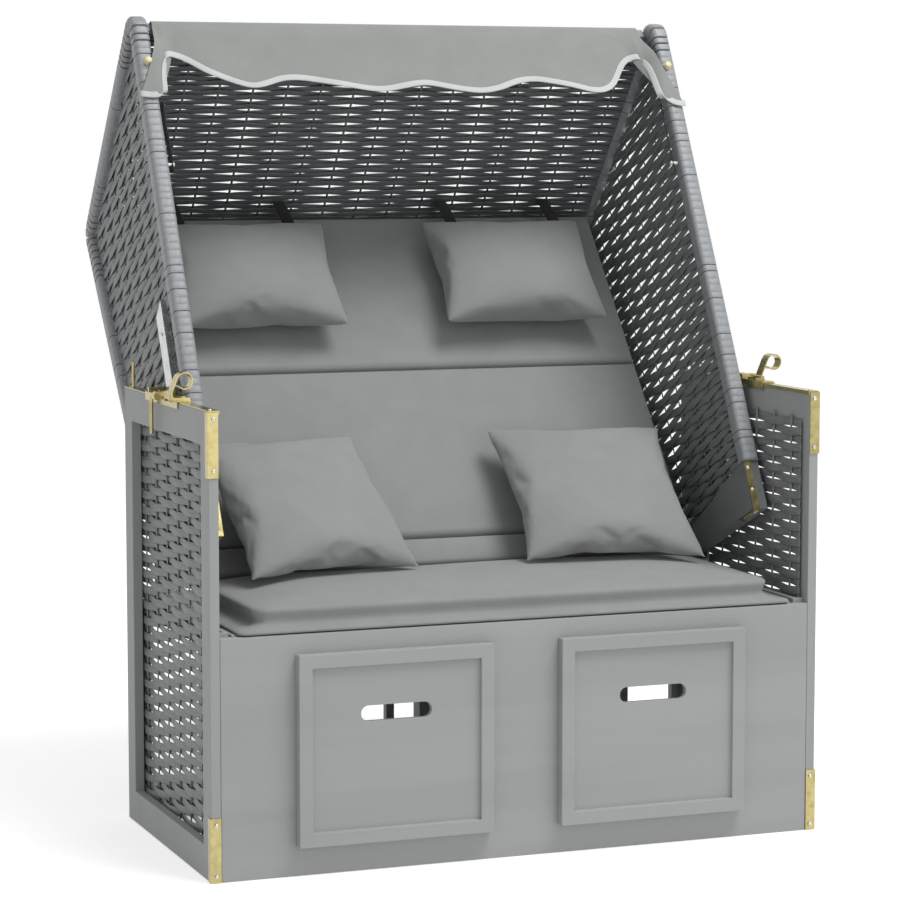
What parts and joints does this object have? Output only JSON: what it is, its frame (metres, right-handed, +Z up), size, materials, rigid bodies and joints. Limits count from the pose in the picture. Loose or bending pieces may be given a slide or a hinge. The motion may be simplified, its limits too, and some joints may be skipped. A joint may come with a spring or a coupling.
{
  "type": "hooded beach chair",
  "caption": "Two-seat hooded beach chair: wooden base with woven sides and pull-out footrests, tilting woven hood, cushions and a scalloped awning.",
  "frame": {"origin": "on the floor at the centre of the base, on the underside of the centre frame's bottom rail", "axes": "+Z up, +Y to the back, +X to the right as seen from the front; the hood leans back 27.5 degrees at rest, as in the picture"},
  "size_m": [1.2339, 1.0114, 1.5347],
  "materials": {
    "painted_wood": "grey painted fir, satin",
    "dark_wood": "dark grey painted wood, satin",
    "strand": "woven flat polyethylene strand, satin",
    "roof_strand": "woven flat polyethylene strand, satin, dark grey",
    "wrapped_tube": "bar wrapped in flat strand, satin, light grey",
    "brass": "bright brass-plated steel",
    "steel": "zinc-plated",
    "cushion_fabric": "plain woven grey polyester",
    "awning_fabric": "plain woven grey polyester with a pale bound hem",
    "webbing": "black woven webbing",
    "elastic": "black elastic with a white peg"
  },
  "bodies": {
    "base": {"side_frame_left": "painted_wood", "side_frame_right": "painted_wood", "side_weave_left": "strand", "side_weave_right": "strand", "front_board": "painted_wood", "rear_frame": "painted_wood", "centre_frame": "painted_wood", "seat_deck": "painted_wood", "seat_bearer_left": "painted_wood", "seat_bearer_right": "painted_wood", "footrest_runner_left": "painted_wood", "footrest_runner_right": "painted_wood", "arm_rail_left": "brass", "arm_rail_right": "brass", "corner_angle_lower_left": "brass", "corner_angle_lower_right": "brass", "corner_angle_upper_left": "brass", "corner_angle_upper_right": "brass", "pivot_bracket_left": "steel", "pivot_bracket_right": "steel", "seat_cushion": "cushion_fabric"},
    "hood": {"hood_side_frame_left": "wrapped_tube", "hood_side_frame_right": "wrapped_tube", "hood_side_weave_left": "strand", "hood_side_weave_right": "strand", "hood_roof_weave": "roof_strand", "hood_back_weave": "strand", "top_crossbar": "wrapped_tube", "rear_crossbar": "painted_wood", "bottom_crossbar": "painted_wood", "hood_foot_board_left": "dark_wood", "hood_foot_board_right": "dark_wood", "hood_corner_left": "brass", "hood_corner_right": "brass", "guide_bar_left": "brass", "guide_bar_right": "brass", "backrest_pad_lower": "cushion_fabric", "backrest_pad_middle": "cushion_fabric", "backrest_pad_upper": "cushion_fabric", "neck_pillow_left": "cushion_fabric", "neck_pillow_right": "cushion_fabric", "neck_strap_left_inner": "webbing", "neck_strap_left_outer": "webbing", "neck_strap_right_inner": "webbing", "neck_strap_right_outer": "webbing", "awning": "awning_fabric", "awning_strap_left": "elastic", "awning_strap_right": "elastic"},
    "carriage_left": {"latch_carriage_left": "brass"},
    "carriage_right": {"latch_carriage_right": "brass"},
    "loop_left": {"latch_loop_left": "brass"},
    "loop_right": {"latch_loop_right": "brass"},
    "rod_left": {"latch_rod_left": "brass"},
    "rod_right": {"latch_rod_right": "brass"},
    "footrest_left": {"footrest_panel_left": "painted_wood", "footrest_carriage_left": "painted_wood"},
    "footrest_right": {"footrest_panel_right": "painted_wood", "footrest_carriage_right": "painted_wood"},
    "pillow_left": {"scatter_pillow_left": "cushion_fabric"},
    "pillow_right": {"scatter_pillow_right": "cushion_fabric"}
  },
  "joints": [
    {"name": "hood_tilt", "type": "hinge", "parent": "base", "child": "hood", "pos_m": [0, 0.15, 0.48], "axis": [1, 0, 0], "range_deg": [-12.5, 27.5]},
    {"name": "latch_slide_left", "type": "slide", "parent": "base", "child": "carriage_left", "axis": [0, 1, 0], "range_m": [-0.16, 0.075]},
    {"name": "latch_slide_right", "type": "slide", "parent": "base", "child": "carriage_right", "axis": [0, 1, 0], "range_m": [-0.16, 0.075]},
    {"name": "loop_turn_left", "type": "hinge", "parent": "carriage_left", "child": "loop_left", "pos_m": [-0.6035, -0.08, 0.8381], "axis": [0, 1, 0], "range_deg": [-75, 0]},
    {"name": "loop_turn_right", "type": "hinge", "parent": "carriage_right", "child": "loop_right", "pos_m": [0.584, -0.045, 0.8381], "axis": [0, 1, 0], "range_deg": [0, 75]},
    {"name": "rod_swing_left", "type": "hinge", "parent": "carriage_left", "child": "rod_left", "pos_m": [-0.6, 0.013, 0.8336], "axis": [0, 1, 0], "range_deg": [0, 100]},
    {"name": "rod_swing_right", "type": "hinge", "parent": "carriage_right", "child": "rod_right", "pos_m": [0.6, 0.013, 0.8336], "axis": [0, 1, 0], "range_deg": [-100, 0]},
    {"name": "footrest_slide_left", "type": "slide", "parent": "base", "child": "footrest_left", "axis": [0, -1, 0], "range_m": [0, 0.35]},
    {"name": "footrest_slide_right", "type": "slide", "parent": "base", "child": "footrest_right", "axis": [0, -1, 0], "range_m": [0, 0.35]},
    {"name": "pillow_lean_left", "type": "hinge", "parent": "base", "child": "pillow_left", "pos_m": [-0.28, -0.061, 0.4986], "axis": [0.9848, 0.1736, 0], "range_deg": [-7, 14]},
    {"name": "pillow_lean_right", "type": "hinge", "parent": "base", "child": "pillow_right", "pos_m": [0.28, -0.061, 0.4986], "axis": [0.9848, -0.1736, 0], "range_deg": [-7, 14]}
  ],
  "couplings": [
    {"joint": "latch_slide_left", "follows": "hood_tilt", "m_per_rad": -0.3266},
    {"joint": "latch_slide_right", "follows": "hood_tilt", "m_per_rad": -0.3266},
    {"joint": "pillow_lean_left", "follows": "hood_tilt", "ratio": 0.48},
    {"joint": "pillow_lean_right", "follows": "hood_tilt", "ratio": 0.48}
  ]
}
